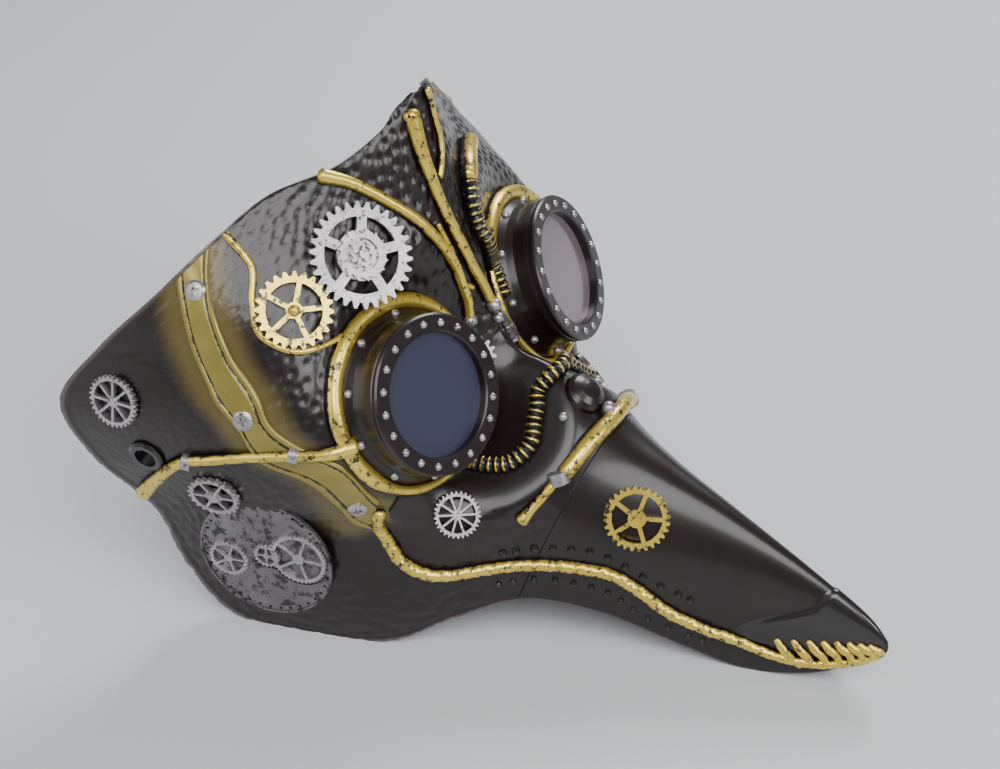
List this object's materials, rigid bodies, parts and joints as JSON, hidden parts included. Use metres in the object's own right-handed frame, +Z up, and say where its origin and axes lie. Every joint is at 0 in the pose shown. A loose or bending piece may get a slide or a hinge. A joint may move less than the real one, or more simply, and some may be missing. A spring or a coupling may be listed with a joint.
{
  "type": "plague doctor mask",
  "caption": "Steampunk plague doctor mask with a long tapered beak, round riveted goggles, ribbed hoses, piping and applied gears.",
  "frame": {"origin": "on the table under the middle of the mask: centre of the bounding box in X and Y, at its lowest point", "axes": "+Z is up with the mask standing on its cheek edges and the beak's lower edges, -Y is along the beak away from the face, and +X is towards the wearer's left"},
  "size_m": [0.2012, 0.2723, 0.1896],
  "materials": {
    "moulded_shell": "moulded resin with dark brown-black gloss paint",
    "black_paint": "black gloss paint on moulded resin",
    "gold_paint": "gold paint dry-brushed over black",
    "silver_paint": "silver paint dry-brushed over black",
    "olive_paint": "olive-gold paint on moulded resin",
    "hose_paint": "gold paint dry-brushed on ribs over black",
    "lens": "smoked blue-grey clear plastic"
  },
  "bodies": {
    "root": {"face_shell": "moulded_shell", "beak_shell": "moulded_shell", "beak_tip_cap": "black_paint", "beak_collar": "gold_paint", "collar_ferrules": "silver_paint", "collar_branch_right": "gold_paint", "collar_branch_left": "gold_paint", "nose_cap": "moulded_shell", "goggle_housing_right": "moulded_shell", "goggle_housing_left": "moulded_shell", "goggle_bezel_right": "moulded_shell", "goggle_bezel_left": "moulded_shell", "lens_right": "lens", "lens_left": "lens", "lens_retainer_right": "black_paint", "lens_retainer_left": "black_paint", "bezel_rivets": "silver_paint", "housing_studs": "silver_paint", "eye_ring_right": "gold_paint", "eye_ring_left": "gold_paint", "cheek_tube_right": "gold_paint", "cheek_tube_left": "gold_paint", "tube_ferrules": "silver_paint", "temple_strap_right": "olive_paint", "temple_strap_left": "olive_paint", "strap_screws": "silver_paint", "brow_pipe": "gold_paint", "brow_knob": "silver_paint", "crest_tube": "gold_paint", "crest_wire": "gold_paint", "crest_knobs": "silver_paint", "forehead_hose": "hose_paint", "forehead_hose_elbow": "gold_paint", "bridge_hose": "hose_paint", "bridge_hose_sockets": "gold_paint", "temple_gear": "silver_paint", "ratchet": "silver_paint", "brass_gear": "gold_paint", "rear_gear_right": "silver_paint", "rear_gear_left": "silver_paint", "cheek_gear_right": "silver_paint", "cheek_gear_left": "silver_paint", "beak_gear": "gold_paint", "nose_gears": "silver_paint", "side_gears": "silver_paint", "movement_right": "silver_paint", "movement_left": "silver_paint", "movement_wheels": "silver_paint", "gear_pipe": "gold_paint", "mouth_band_right": "gold_paint", "mouth_band_left": "gold_paint", "band_rivets": "black_paint", "beak_claws": "gold_paint", "cheek_panels": "black_paint", "strap_eyelet_right": "black_paint", "strap_eyelet_left": "black_paint"}
  },
  "joints": []
}
